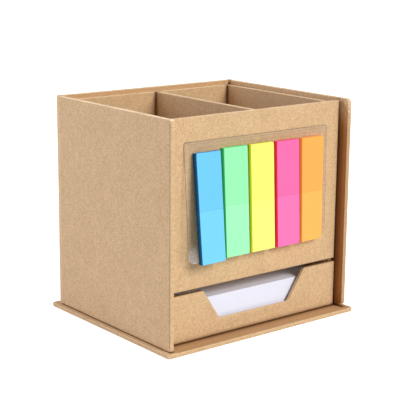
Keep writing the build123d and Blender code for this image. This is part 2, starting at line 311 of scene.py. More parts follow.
def wrapped_board(node, finish, corners=(), dents=(), painted_shade_at=None, rim_wear_and_highlight=1.3, edge_wear=1.0):
    """The skin of a CAD board, cut in small panels, slightly uneven, with rubbed and highlighted edges
    marked.

    Corners are gathered folds of the wrap, as corner_folds gives them. Dents are places, radii and depths.
    The painted shade is read from a point's place and the way its face looks. The wear of the board's edges
    shows as paler paper, and its top edge is paler still with a painted highlight where it faces up.
    """
    panel = 0.003
    rim_cuts = (0.0008, 0.0017)
    thin = 0.006
    same_plane = math.radians(1)
    cut_slack = 0.0000005
    dent_cuts = 4
    dent_margin = 1.5
    full_tilt = 0.25
    flat_facing = (0.7, 0.95)
    mean_wear = 0.75
    wear_spread = 0.5
    wear_per_metre = 300.0
    crest_wear = 1.8
    crest_cleared = 0.9
    mean_sunk = 0.5
    swell_share = 0.5
    swells_per_metre = 90.0
    ripple_share = 0.4
    ripples_per_metre = 420.0
    uneven_depth = 0.00005
    low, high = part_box(node)
    skin = bmesh.new()
    skin.from_mesh(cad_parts[node].data)
    bmesh.ops.remove_doubles(skin, verts=skin.verts, dist=same_point)
    bmesh.ops.dissolve_limit(skin, angle_limit=same_plane, verts=skin.verts, edges=skin.edges)

    def cut(place, across, chosen=None):
        """Cuts the faces along a plane, or only those whose middle is chosen."""
        faces = [face for face in skin.faces if chosen is None or chosen(face.calc_center_bounds())]
        edges = {edge for face in faces for edge in face.edges}
        points = {point for face in faces for point in face.verts}
        everything = [*points, *edges, *faces]
        bmesh.ops.bisect_plane(skin, geom=everything, plane_co=place, plane_no=across, dist=cut_slack)

    for axis, across in enumerate(axes):
        span = high[axis] - low[axis]
        if span < thin:
            continue
        count = max(2, round(span / panel))
        stops = [low[axis] + span * number / count for number in range(1, count)]
        stops += [low[axis] + stop for stop in rim_cuts] + [high[axis] - stop for stop in rim_cuts]
        for stop in stops:
            cut(across * stop, across)
    for folds in corners:
        for place, across in folds["cuts"]:
            cut(place, across, folds["covers"])
    for place, radius, depth in dents:
        for across in axes:
            for number in range(-dent_cuts, dent_cuts + 1):
                aside = across * radius * number / dent_cuts
                cut(place + aside, across, lambda spot: (spot - place).length < dent_margin * radius)
    bmesh.ops.recalc_face_normals(skin, faces=skin.faces)
    skin.normal_update()
    thin_axis = min(range(3), key=lambda axis: high[axis] - low[axis])
    rub_and_highlight_marks = []
    painted_shade_marks = []
    moves = []
    for point in skin.verts:
        tilt = 1.0 - max(abs(part) for part in point.normal)
        wear = mean_wear + wear_spread * noise.noise(point.co * wear_per_metre)
        off_flat = 1 - eased(abs(point.normal[thin_axis]), *flat_facing)
        edge_rub = edge_wear * min(1.0, tilt / full_tilt)
        # A painted highlight, with wear, on the rims that face up
        rim_rub_and_highlight = rim_wear_and_highlight * eased(point.normal.z, *half_facing) * off_flat
        crest = max([0.0, *[folds["crest"](point.co) for folds in corners]])
        rub_and_highlight_marks.append(max(edge_rub, rim_rub_and_highlight) * wear + crest_wear * crest)
        # Painted shade, as the piece gives it
        painted_shade = painted_shade_at(point.co, point.normal) if painted_shade_at else 0.0
        painted_shade_marks.append(painted_shade * (1.0 - crest_cleared * crest))
        swell = swell_share * noise.noise(point.co * swells_per_metre)
        ripple = ripple_share * noise.noise(point.co * ripples_per_metre)
        sunk = uneven_depth * max(0.0, mean_sunk + swell + ripple)
        sunk += sum(folds["depth"](point.co) for folds in corners)
        for place, radius, depth in dents:
            sunk += depth * (1 - eased((point.co - place).length, 0, radius))
        moves.append(point.normal * sunk)
    for point, move in zip(skin.verts, moves):
        point.co -= move
    mesh = bpy.data.meshes.new(node)
    skin.to_mesh(mesh)
    skin.free()
    mesh.attributes.new("rub_and_highlight", "FLOAT", "POINT").data.foreach_set("value", rub_and_highlight_marks)
    mesh.attributes.new("painted_shade", "FLOAT", "POINT").data.foreach_set("value", painted_shade_marks)
    mesh.shade_smooth()
    mesh.set_sharp_from_angle(angle=crease_angle)
    return new_piece(node, mesh, [finish])


kraft_tone = (0.66, 0.442, 0.246)
lining_level = 0.95
board_joint_reach = 0.0010
drawer_joint_reach = 0.0045
fold_line_inset = 0.0005
fold_line_end = 0.002
fold_line_reach = 0.0009
fold_line_share = 0.5
# Painted shade where the base meets the boards and the drawer; the last entry darkens the fold line near the
# left board's front edge
base_joints = [
    joint("base_board", "left_cover_board", board_joint_reach),
    joint("base_board", "back_cover_board", board_joint_reach),
    joint("base_board", "box_right_wall", board_joint_reach),
    joint("base_board", "drawer_front", drawer_joint_reach),
    joint("base_board", "flap_board", board_joint_reach),
]
cover_low, cover_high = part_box("left_cover_board")
fold_line_middle = Vector((cover_low.x, cover_low.y + fold_line_inset, (cover_low.z + cover_high.z) / 2))
fold_line_half = Vector((0.0, 0.0, (cover_high.z - cover_low.z) / 2 - fold_line_end))
base_joints.append((fold_line_middle, fold_line_half, fold_line_reach, fold_line_share))
cover_kraft = kraft_paper("kraft_cover", kraft_tone, base_joints)
lining_kraft = kraft_paper("kraft_lining", shaded(kraft_tone, lining_level))

base_edge_wear = 1.7
base_painted_shade_share = 0.47
base_painted_shade_edge = 0.001
front_wall_low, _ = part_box("box_front_wall")


def base_painted_shade(spot, facing):
    """Painted shade on the base's top in front of the box, where the box's shade falls."""
    in_front = eased(front_wall_low.y - spot.y, 0.0, base_painted_shade_edge)
    beside = eased(spot.x, cover_low.x, cover_high.x)
    return base_painted_shade_share * in_front * beside * eased(facing.z, *square_facing)


base = wrapped_board("base_board", cover_kraft, painted_shade_at=base_painted_shade, edge_wear=base_edge_wear)
dress(base, "base_wrapped", "holder", "base_board")


def finish_node(node, finish):
    """Gives a CAD node that keeps its own shape its finish."""
    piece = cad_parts[node]
    piece.data.materials.clear()
    piece.data.materials.append(finish)


finish_node("base_lining", lining_kraft)

# Cover
# Three wrapped boards: left, back and flap. One sheet of kraft paper wraps all three, and it is bare between
# them, so it turns round the left back corner and is the hinge of the flap at the right back corner.


def corner_folds(node, inner_side, top_side, gather, angles, depth, worn=1.0):
    """Folds of the wrap where it is gathered at a board's front corner and turned in.

    The folds fan out from a gather point, given as its distances from the front and from the top or bottom
    edge. Their angles are in degrees, from along the front edge. The turned-in side is -1 or +1 along X. The
    wear of the folds shows as paler crests.
    """
    crease_width = 3.0
    fan_start = -10
    fan_end = 170
    turned_in_shares = (0.45, 0.85)
    gathered = (0.0002, 0.0016)
    full_crest_share = 0.6
    low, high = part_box(node)
    inner_x = low.x if inner_side < 0 else high.x
    thickness = high.x - low.x
    edge_z = high.z if top_side > 0 else low.z
    gather_point = Vector((inner_x, low.y + gather[0], edge_z - top_side * gather[1]))
    stops = [(angles[0], 0.0)]
    for angle in angles[1:]:
        stops += [(angle, 1.0), (angle + crease_width, 0.0)]
    reach_most = max(gather) / math.sin(math.radians(angles[0]))

    def spread(spot):
        """A point's distance from the gather point, and its angle."""
        forward = gather_point.y - spot.y
        along = (gather_point.z - spot.z) * top_side
        return math.hypot(forward, along), math.degrees(math.atan2(forward, along))

    def covers(spot):
        """Whether the folds reach a point."""
        reach, angle = spread(spot)
        return reach < reach_most and fan_start < angle < fan_end

    def rise_at(angle):
        """How far the paper has sunk between one crest, at 0, and the next crease, at 1."""
        for (first, first_rise), (second, second_rise) in zip(stops, stops[1:]):
            if first <= angle <= second:
                return first_rise + (second_rise - first_rise) * (angle - first) / (second - first)
        return 0.0

    def shown_at(spot, reach):
        """The folds show on the turned-in side of the board, from a little outside the gather point."""
        through = abs(spot.x - inner_x) / thickness
        return (1 - eased(through, *turned_in_shares)) * eased(reach, *gathered)

    def depth_at(spot):
        reach, angle = spread(spot)
        return depth * rise_at(angle) * shown_at(spot, reach)

    def crest_at(spot):
        reach, angle = spread(spot)
        if not covers(spot) or not angles[0] + crease_width <= angle <= angles[-1] + crease_width:
            return 0.0
        crest = (1 - rise_at(angle)) ** 3 * shown_at(spot, reach)
        return worn * crest * (1 - eased(reach, full_crest_share * reach_most, reach_most))

    def plane(angle):
        turn = math.radians(angle)
        return gather_point, Vector((0.0, math.cos(turn), -top_side * math.sin(turn)))

    return {
        "cuts": [plane(angle) for angle, _ in stops],
        "covers": covers,
        "depth": depth_at,
        "crest": crest_at,
    }


left_gather = (0.0022, 0.0003)
left_fold_angles = (24, 42, 60, 78)
left_fold_depth = 0.00012
# The left board's top rim is paler: wear and a strong painted highlight
left_rim_wear_and_highlight = 3.2
left_folds = [
    corner_folds("left_cover_board", 1, side, left_gather, left_fold_angles, left_fold_depth)
    for side in (1, -1)
]
# Each dent's distances from the front and from the top, its radius and its depth
left_dent_sizes = (
    (0.0014, 0.0018, 0.0008, 0.00012),
    (0.0022, 0.0030, 0.0007, 0.00010),
    (0.0010, 0.0040, 0.0009, 0.00010),
)
left_dents = [
    (Vector((cover_low.x, cover_low.y + behind, cover_high.z - below)), radius, depth)
    for behind, below, radius, depth in left_dent_sizes
]
left_cover = wrapped_board("left_cover_board", cover_kraft, left_folds, left_dents, rim_wear_and_highlight=left_rim_wear_and_highlight)
dress(left_cover, "left_cover", "holder", "left_cover_board")

back_painted_shade_share = 0.3


def back_painted_shade(spot, facing):
    """Painted shade on the back board's inner face, which little light reaches."""
    return back_painted_shade_share * eased(-facing.y, *square_facing)


back_cover = wrapped_board("back_cover_board", cover_kraft, painted_shade_at=back_painted_shade)
dress(back_cover, "back_cover", "holder", "back_cover_board")
left_corner = wrapped_board("left_corner_paper", cover_kraft)
dress(left_corner, "left_corner", "holder", "left_corner_paper")

flap_gather = (0.0036, 0.0003)
flap_fold_angles = (16, 30, 46, 60, 76)
flap_fold_depth = 0.0003
flap_foot_wear = 0.1
flap_folds = [
    corner_folds("flap_board", -1, 1, flap_gather, flap_fold_angles, flap_fold_depth),
    corner_folds("flap_board", -1, -1, flap_gather, flap_fold_angles, flap_fold_depth, flap_foot_wear),
]
# Painted shade on the flap's inner side and lining, less of it near the top where light falls
flap_painted_shade_share = 0.85
flap_painted_shade_added = 1.1
flap_painted_shade_deepens = -0.0032
flap_painted_shade_fades = (0.0008, 0.005)
flap_lit_height = 0.014
flap_lit_share = 0.8
flap_edge_painted_shade = 0.4
flap_edge_facing = (0.6, 0.9)
flap_edge_below_rim = (0.002, 0.006)
_, back_wall_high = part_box("box_back_wall")


def flap_front_painted_shade(spot):
    """Painted shade on the flap's inner side along its front, darkest beside the box's front wall."""
    behind = spot.y - front_wall_low.y
    deepest = eased(behind, flap_painted_shade_deepens, 0.0)
    faded = eased(behind, *flap_painted_shade_fades)
    lit_top = 1.0 - flap_lit_share * eased(spot.z, back_wall_high.z - flap_lit_height, back_wall_high.z)
    return (flap_painted_shade_share + flap_painted_shade_added * deepest) * (1.0 - faded) * lit_top


def flap_painted_shade(spot, facing):
    """Painted shade on the flap board's inner face, and a little on its front edge below the rounded corner.
    """
    below_corner = eased(back_wall_high.z - spot.z, *flap_edge_below_rim)
    front_edge = flap_edge_painted_shade * eased(-facing.y, *flap_edge_facing) * below_corner
    return max(flap_front_painted_shade(spot) * eased(-facing.x, *square_facing), front_edge)


def lining_painted_shade(spot, facing):
    """Painted shade on the flap's lining sheet, with its edges."""
    return flap_front_painted_shade(spot)


flap = wrapped_board("flap_board", cover_kraft, flap_folds, painted_shade_at=flap_painted_shade)
dress(flap, "flap", "flap", "flap_board")
flap_lining = wrapped_board("flap_lining", lining_kraft, painted_shade_at=lining_painted_shade, rim_wear_and_highlight=0.0, edge_wear=0.0)
dress(flap_lining, "flap_lining_sheet", "flap", "flap_lining")

hinge_painted_shade_share = 0.55


def hinge_painted_shade(spot, facing):
    """Painted shade on the hinge paper's inner side, in the dark gap between the boards."""
    inwards = -(facing.x + facing.y) * math.sqrt(0.5)
    return hinge_painted_shade_share * eased(inwards, *half_facing)


hinge = wrapped_board("flap_hinge_paper", cover_kraft, painted_shade_at=hinge_painted_shade)
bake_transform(hinge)
hinge.name = "flap_hinge"
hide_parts("flap_hinge_paper")

# Pen box
# Walls, floor and divider of board, wrapped in the same kraft paper and glued edge to face. The side walls
# run down to the base and guide the drawer. The front wall stops over it.

# Painted shade in the box's inner corners, in the slot over the drawer and along the drawer's foot
corner_joint_reach = 0.003
slot_joint_reach = 0.0008
drawer_foot_reach = 0.0024
box_joints = [
    joint("box_left_wall", "box_back_wall", corner_joint_reach),
    joint("box_right_wall", "box_back_wall", corner_joint_reach),
    joint("box_left_wall", "box_front_wall", corner_joint_reach),
    joint("box_right_wall", "box_front_wall", corner_joint_reach),
    joint("divider", "box_back_wall", corner_joint_reach),
    joint("divider", "box_front_wall", corner_joint_reach),
    joint("divider", "pen_floor", corner_joint_reach),
    joint("box_front_wall", "drawer_front", slot_joint_reach),
    joint("base_board", "drawer_front", drawer_foot_reach),
]
box_kraft = kraft_paper("kraft_box", kraft_tone, box_joints)
for node in ("box_left_wall", "box_right_wall", "box_back_wall", "box_front_wall", "pen_floor", "divider"):
    dress(wrapped_board(node, box_kraft), node + "_wrapped", "holder", node)

# Drawer
# A tray of thinner board with a wrapped front. The front has a cut-out for the thumb, which pulls the drawer
# and picks up a note.

for node in ("drawer_front", "drawer_bottom", "drawer_left_side", "drawer_right_side", "drawer_back"):
    dress(wrapped_board(node, box_kraft), node + "_wrapped", "drawer", node)

# Notes
# A loose stack of cut white paper, which lies in the tray. The sheets are not glued, so they lie a little
# out of line with each other.


def new_steps(name, sizes):
    """A node tree for geometry, with its named sizes as inputs, and a reading of each of them."""
    kinds = {float: "NodeSocketFloat", int: "NodeSocketInt", bpy.types.Material: "NodeSocketMaterial"}
    tree = bpy.data.node_groups.new(name, "GeometryNodeTree")
    tree.interface.new_socket("Geometry", in_out="INPUT", socket_type="NodeSocketGeometry")
    for size, kind in sizes.items():
        tree.interface.new_socket(size, in_out="INPUT", socket_type=kinds[kind])
    tree.interface.new_socket("Geometry", in_out="OUTPUT", socket_type="NodeSocketGeometry")
    start = Reading(tree)
    entry = start.node("NodeGroupInput", {}, {}).socket.node
    given = {socket.name: Reading(tree, socket) for socket in entry.outputs if socket.name}
    return tree, start, given


def run_steps(tree, piece, sizes):
    """Runs the steps on a piece and keeps their result as its plain mesh."""
    steps = piece.modifiers.new("steps", "NODES")
    steps.node_group = tree
    for item in tree.interface.items_tree:
        if item.item_type == "SOCKET" and item.in_out == "INPUT" and item.name in sizes:
            steps[item.identifier] = sizes[item.name]
    bpy.context.view_layer.update()
    posed = piece.evaluated_get(bpy.context.evaluated_depsgraph_get())
    mesh = bpy.data.meshes.new_from_object(posed)
    piece.modifiers.remove(steps)
    piece.data = mesh


def note_paper(name, tone):
    """White paper, faintly clouded, with a fine tooth."""
    tooth_per_metre = 1500.0
    clouds_per_metre = 120.0
    darkest = 0.97
    palest = 1.02
    tooth_depth = 0.00003
    finish, start = new_finish(name)
    place = start.node("ShaderNodeTexCoord", {}, {}, "Object")
    tooth = place.cloud(tooth_per_metre, 2.0)
    cloud = place.cloud(clouds_per_metre, 2.0)
    colour = start.tint((tooth + cloud) * 0.5, shaded(tone, darkest), shaded(tone, palest))
    bumps = {"Strength": 0.3, "Distance": tooth_depth, "Height": tooth}
    relief = start.node("ShaderNodeBump", {}, bumps, "Normal")
    paper = start.node(
        "ShaderNodeBsdfPrincipled",
        {},
        {
            "Base Color": colour,
            "Roughness": 0.75 + tooth * 0.1,
            "Specular IOR Level": 0.3,
            "Normal": relief,
        },
    )
    close_finish(start, paper)
    return finish


def stack_steps():
    """Lays sheets on each other, each a little out of line."""
    sizes = {
        "Width": float,
        "Depth": float,
        "Sheet": float,
        "Pitch": float,
        "Sheets": int,
        "Slip": float,
        "Turn": float,
        "Seed": int,
        "Paper": bpy.types.Material,
    }
    tree, start, given = new_steps("note_stack_steps", sizes)
    size = start.node("ShaderNodeCombineXYZ", {}, {0: given["Width"], 1: given["Depth"], 2: given["Sheet"]})
    rise = start.node("ShaderNodeCombineXYZ", {}, {2: given["Pitch"]})
    sheet = start.node("GeometryNodeMeshCube", {}, {"Size": size}, "Mesh")
    places = start.node("GeometryNodeMeshLine", {}, {"Count": given["Sheets"], "Offset": rise}, "Mesh")
    laid = start.node(
        "GeometryNodeInstanceOnPoints",
        {},
        {"Points": places, "Instance": sheet},
        "Instances",
    )
    slip_low = start.node("ShaderNodeCombineXYZ", {}, {0: 0.0 - given["Slip"], 1: 0.0 - given["Slip"]})
    slip_high = start.node("ShaderNodeCombineXYZ", {}, {0: given["Slip"], 1: given["Slip"]})
    slip = start.node(
        "FunctionNodeRandomValue",
        {"data_type": "FLOAT_VECTOR"},
        {"Min": slip_low, "Max": slip_high, "Seed": given["Seed"]},
    )
    moved = start.node("GeometryNodeTranslateInstances", {}, {"Instances": laid, "Translation": slip})
    turn_low = start.node("ShaderNodeCombineXYZ", {}, {2: 0.0 - given["Turn"]})
    turn_high = start.node("ShaderNodeCombineXYZ", {}, {2: given["Turn"]})
    turn = start.node(
        "FunctionNodeRandomValue",
        {"data_type": "FLOAT_VECTOR"},
        {"Min": turn_low, "Max": turn_high, "Seed": given["Seed"] + 1.0},
    )
    turned = start.node("GeometryNodeRotateInstances", {}, {"Instances": moved, "Rotation": turn})
    whole = start.node("GeometryNodeRealizeInstances", {}, {"Geometry": turned})
    finished = start.node("GeometryNodeSetMaterial", {}, {"Geometry": whole, "Material": given["Paper"]})
    start.node("NodeGroupOutput", {}, {"Geometry": finished})
    return tree


notes_low, notes_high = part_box("note_stack")
note_tone = (0.84, 0.85, 0.97)
note_count = 132
note_pitch = (notes_high.z - notes_low.z) / note_count
note_sheet_share = 0.94
note_slip = 0.00003
note_turn = math.radians(0.02)
note_room = 3 * note_slip
note_seed = 4
white_paper = note_paper("note_paper", note_tone)
notes = new_piece("notes", bpy.data.meshes.new("notes"), [])
run_steps(
    stack_steps(),
    notes,
    {
        "Width": notes_high.x - notes_low.x - note_room,
        "Depth": notes_high.y - notes_low.y - note_room,
        "Sheet": note_pitch * note_sheet_share,
        "Pitch": note_pitch,
        "Sheets": note_count,
        "Slip": note_slip,
        "Turn": note_turn,
        "Seed": note_seed,
        "Paper": white_paper,
    },
)
notes_middle = (notes_low + notes_high) / 2
notes.data.transform(Matrix.Translation((notes_middle.x, notes_middle.y, notes_low.z + note_pitch / 2)))
dress(notes, "notes", "drawer", "note_stack")

# Flag carrier
# A clear film hangs from a strip of double-sided tape at its top, and five pads of page flags are stuck on
# it. It bends just below the tape and stands off the wall from there, most of all at its left end.

film_lift = 0.0047
film_bend = 0.001
film_edge_lift_shares = (0.77, 0.10)
flag_left_lift_shares = (1.0, 0.60, 0.47, 0.45, 0.33)
flag_right_lift_shares = (0.87, 0.54, 0.46, 0.42, 0.14)
flag_colours = ("blue", "green", "yellow", "pink", "orange")
film_top_margin = 0.0039
flag_height = 0.044
film_thickness = 0.0002
film_height = film_top_margin + flag_height
tape_low, tape_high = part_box("film_tape")
film_low, film_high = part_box("flag_film")
tape_height = tape_high.z - tape_low.z
flag_edges_x = []
lift_stops = [(film_low.x, film_edge_lift_shares[0])]
for colour, left_share, right_share in zip(flag_colours, flag_left_lift_shares, flag_right_lift_shares):
    pad_low, pad_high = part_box("flag_pad_" + colour)
    flag_edges_x.append((pad_low.x, pad_high.x))
    lift_stops += [(pad_low.x, left_share), (pad_high.x, right_share)]
lift_stops.append((film_high.x, film_edge_lift_shares[1]))


def film_lift_at(x):
    """How far the film's lower end stands off at that place along it."""
    for (near_x, near_share), (far_x, far_share) in zip(lift_stops, lift_stops[1:]):
        if x <= far_x:
            break
    way = min(1.0, max(0.0, (x - near_x) / (far_x - near_x)))
    return film_lift * (near_share + (far_share - near_share) * way)


def flat_sheet(name, left, right, top, height, top_corner, low_corner, columns, rows):
    """A flat sheet in its upright place, with the lift of the film's lower end marked at each point."""
    points = []
    faces = []
    lifts = []
    spots = []
    middle = (left + right) / 2
    half = (right - left) / 2
    for row in range(rows + 1):
        down = height * row / rows
        corner = top_corner if down < height / 2 else low_corner
        past = max(0.0, corner - min(down, height - down))
        room = half - corner + math.sqrt(max(0.0, corner**2 - past**2))
        for column in range(columns + 1):
            across = 2 * column / columns - 1
            points.append((middle + room * across, 0.0, top - down))
            lifts.append(film_lift_at(middle + room * across))
            spots.append((0.5 + 0.5 * across * room / half, 1 - down / height))
    for row in range(rows):
        for column in range(columns):
            first = row * (columns + 1) + column
            faces.append((first, first + columns + 1, first + columns + 2, first + 1))
    mesh = bpy.data.meshes.new(name)
    mesh.from_pydata(points, [], faces)
    mesh.attributes.new("lift", "FLOAT", "POINT").data.foreach_set("value", lifts)
    chart = mesh.uv_layers.new(name="sheet")
    for loop in mesh.loops:
        chart.data[loop.index].uv = spots[loop.vertex_index]
    return new_piece(name, mesh, [])


def tilt_steps():
    """Gives a flat sheet its thickness, stacks it forwards, and tilts all below the tape off the wall."""
    sizes = {
        "Film Top": float,
        "Tape Height": float,
        "Bend": float,
        "Straight": float,
        "Wall": float,
        "Stand-off": float,
        "Sheet": float,
        "Pitch": float,
        "Sheets": int,
        "Slip": float,
        "Seed": int,
        "Face": bpy.types.Material,
        "Edge": bpy.types.Material,
    }
    tree, start, given = new_steps("tilt_steps", sizes)
    ahead = start.node("ShaderNodeCombineXYZ", {}, {1: -1.0})
    fronts = start.node(
        "GeometryNodeExtrudeMesh",
        {"mode": "FACES"},
        {"Mesh": given["Geometry"], "Offset": ahead, "Offset Scale": given["Sheet"], "Individual": False},
    )
    marked = start.node(
        "GeometryNodeStoreNamedAttribute",
        {"data_type": "BOOLEAN", "domain": "FACE"},
        {"Geometry": fronts, "Name": "cut_edge", "Value": fronts.other_output("Side")},
    )
    backs = start.node("GeometryNodeFlipFaces", {}, {"Mesh": given["Geometry"]})
    shell = start.node("GeometryNodeJoinGeometry", {}, {0: backs})
    tree.links.new(marked.socket, shell.socket.node.inputs[0])
    closed = start.node("GeometryNodeMergeByDistance", {}, {"Geometry": shell, "Distance": same_point})
    forward = start.node("ShaderNodeCombineXYZ", {}, {1: 0.0 - given["Pitch"]})
    places = start.node("GeometryNodeMeshLine", {}, {"Count": given["Sheets"], "Offset": forward}, "Mesh")
    laid = start.node(
        "GeometryNodeInstanceOnPoints",
        {},
        {"Points": places, "Instance": closed},
        "Instances",
    )
    slip_low = start.node("ShaderNodeCombineXYZ", {}, {0: 0.0 - given["Slip"], 2: 0.0 - given["Slip"]})
    slip_high = start.node("ShaderNodeCombineXYZ", {}, {0: given["Slip"]})
    slip = start.node(
        "FunctionNodeRandomValue",
        {"data_type": "FLOAT_VECTOR"},
        {"Min": slip_low, "Max": slip_high, "Seed": given["Seed"]},
    )
    moved = start.node("GeometryNodeTranslateInstances", {}, {"Instances": laid, "Translation": slip})
    whole = start.node("GeometryNodeRealizeInstances", {}, {"Geometry": moved})

    place = start.node("GeometryNodeInputPosition", {}, {})
    parts = start.node("ShaderNodeSeparateXYZ", {}, {0: place})
    stand = given["Stand-off"] - parts.other_output("Y")
    down = given["Film Top"] - parts.other_output("Z")
    lift = start.node(
        "GeometryNodeInputNamedAttribute",
        {"data_type": "FLOAT"},
        {"Name": "lift"},
        "Attribute",
    )
    tilt = start.sum("ARCSINE", lift / (given["Straight"] + given["Bend"] / 2.0))
    radius = given["Bend"] / tilt
    below = down - given["Tape Height"]
    turned = tilt * start.sum("MINIMUM", start.sum("MAXIMUM", below / given["Bend"], 0.0), 1.0)
    past = start.sum("MAXIMUM", below - given["Bend"], 0.0)
    reach = radius - stand
    level = start.sum("COSINE", turned)
    slope = start.sum("SINE", turned)
    tilted_y = given["Wall"] - radius + reach * level - past * slope
    fallen = start.sum("MINIMUM", down, given["Tape Height"]) + reach * slope + past * level
    tilted = start.node("ShaderNodeCombineXYZ", {}, {0: parts, 1: tilted_y, 2: given["Film Top"] - fallen})
    ahead_share = (stand - given["Stand-off"]) / (given["Pitch"] * given["Sheets"])
    layered = start.node(
        "GeometryNodeStoreNamedAttribute",
        {"data_type": "FLOAT", "domain": "POINT"},
        {"Geometry": whole, "Name": "ahead", "Value": ahead_share},
    )
    bent = start.node("GeometryNodeSetPosition", {}, {"Geometry": layered, "Position": tilted})
    faced = start.node("GeometryNodeSetMaterial", {}, {"Geometry": bent, "Material": given["Face"]})
    cut_edge = start.node(
        "GeometryNodeInputNamedAttribute",
        {"data_type": "BOOLEAN"},
        {"Name": "cut_edge"},
        "Attribute",
    )
    edged = start.node(
        "GeometryNodeSetMaterial",
        {},
        {"Geometry": faced, "Selection": cut_edge, "Material": given["Edge"]},
    )
    start.node("NodeGroupOutput", {}, {"Geometry": edged})
    return tree


tilt_off_wall = tilt_steps()


def hang_sheets(piece, stand_off, sheet, pitch, sheets, slip, seed, face, edge):
    """Stacks a flat sheet and hangs it on the film's line."""
    hung = {
        "Film Top": film_high.z,
        "Tape Height": tape_height,
        "Bend": film_bend,
        "Straight": film_height - tape_height - film_bend,
        "Wall": tape_low.y,
        "Stand-off": stand_off,
        "Sheet": sheet,
        "Pitch": pitch,
        "Sheets": sheets,
        "Slip": slip,
        "Seed": seed,
        "Face": face,
        "Edge": edge,
    }
    run_steps(tilt_off_wall, piece, hung)
    piece.data.shade_smooth()
    piece.data.set_sharp_from_angle(angle=crease_angle)


def clear_film(name, tone, edge_tone, curl_highlight_tone, width, height):
    """Clear film, seen by its faint grey cast, its cut edge and a line where its two layers are joined.

    The left edge shows more than the others, and a painted highlight marks the curl at the lower left
    corner.
    """
    rim_ends = (0.0001, 0.0004)
    left_rim_ends = (0.02, 0.06)
    join_inset = 0.0011
    join_width = 0.00022
    curl_across = 0.0020
    curl_up = 0.0022
    curl_width = 0.0030
    curl_height = 0.0060
    haze_per_metre = 90.0
    clear_share = 0.02
    haze_share = 0.03
    rim_share = 0.22
    left_rim_share = 0.25
    join_share = 0.1
    curl_highlight_share = 0.09
    finish, start = new_finish(name)
    chart = start.node("ShaderNodeUVMap", {"uv_map": "sheet"}, {})
    across = start.node("ShaderNodeSeparateXYZ", {}, {0: chart})
    up = across.other_output("Y")
    from_side = (0.5 - abs(across - 0.5)) * width
    from_end = (0.5 - abs(up - 0.5)) * height
    from_rim = start.sum("MINIMUM", from_side, from_end)
    rim = 1.0 - from_rim.step(*rim_ends)
    left_rim = rim * (1.0 - across.step(*left_rim_ends))
    join = 1.0 - (abs(from_rim - join_inset) / join_width).step(0.0, 1.0)
    # A painted highlight where the film curls at its lower left corner
    across_curl = start.sum("POWER", (across * width - curl_across) / curl_width, 2.0)
    up_curl = start.sum("POWER", (up * height - curl_up) / curl_height, 2.0)
    curl_highlight = 1.0 - (across_curl + up_curl).step(0.0, 1.0)
    haze = start.node("ShaderNodeTexCoord", {}, {}, "Object").cloud(haze_per_metre, 2.0)
    lines = rim * rim_share + left_rim * left_rim_share + join * join_share
    film = start.node(
        "ShaderNodeBsdfPrincipled",
        {},
        {
            "Base Color": start.tint(curl_highlight, start.tint(rim, tone, edge_tone), curl_highlight_tone),
            "Roughness": 0.16 + haze * 0.12,
            "Alpha": clear_share + haze * haze_share + lines + curl_highlight * curl_highlight_share,
            "Specular IOR Level": 0.5,
        },
    )
    close_finish(start, film)
    return finish


film_tone = (0.36, 0.32, 0.31, 1.0)
film_edge_tone = (0.20, 0.14, 0.11, 1.0)
film_curl_highlight_tone = (0.72, 0.76, 0.84, 1.0)
film_width = film_high.x - film_low.x
film_top_corner = 0.0005
film_low_corner = 0.002
film_columns = 96
film_rows = 72
film_sheet_share = 0.95
film_clear = clear_film("clear_film", film_tone, film_edge_tone, film_curl_highlight_tone, film_width, film_height)
film = flat_sheet(
    "film",
    left=film_low.x,
    right=film_high.x,
    top=film_high.z,
    height=film_height,
    top_corner=film_top_corner,
    low_corner=film_low_corner,
    columns=film_columns,
    rows=film_rows,
)
hang_sheets(
    film,
    stand_off=0.0,
    sheet=film_thickness * film_sheet_share,
    pitch=film_thickness,
    sheets=1,
    slip=0.0,
    seed=1,
    face=film_clear,
    edge=film_clear,
)
dress(film, "flag_film_clear", "holder", "flag_film")


def clear_tape(name, tone):
    """Clear double-sided tape, seen through the film as a faintly darker strip."""
    blotches_per_metre = 260.0
    clear_share = 0.02
    blotch_share = 0.06
    finish, start = new_finish(name)
    blotch = start.node("ShaderNodeTexCoord", {}, {}, "Object").cloud(blotches_per_metre, 2.0)
    tape = start.node(
        "ShaderNodeBsdfPrincipled",
        {},
        {
            "Base Color": tone,
            "Roughness": 0.4 + blotch * 0.2,
            "Alpha": clear_share + blotch * blotch_share,
        },
    )
    close_finish(start, tape)
    return finish


tape_tone = (0.60, 0.52, 0.42, 1.0)
finish_node("film_tape", clear_tape("film_tape", tape_tone))

# Page flags
# Each pad is a stack of narrow plastic film flags in one bright colour, stuck to the clear film by its
# back. The sheets are cut together, so the sides of a pad are a little ragged.


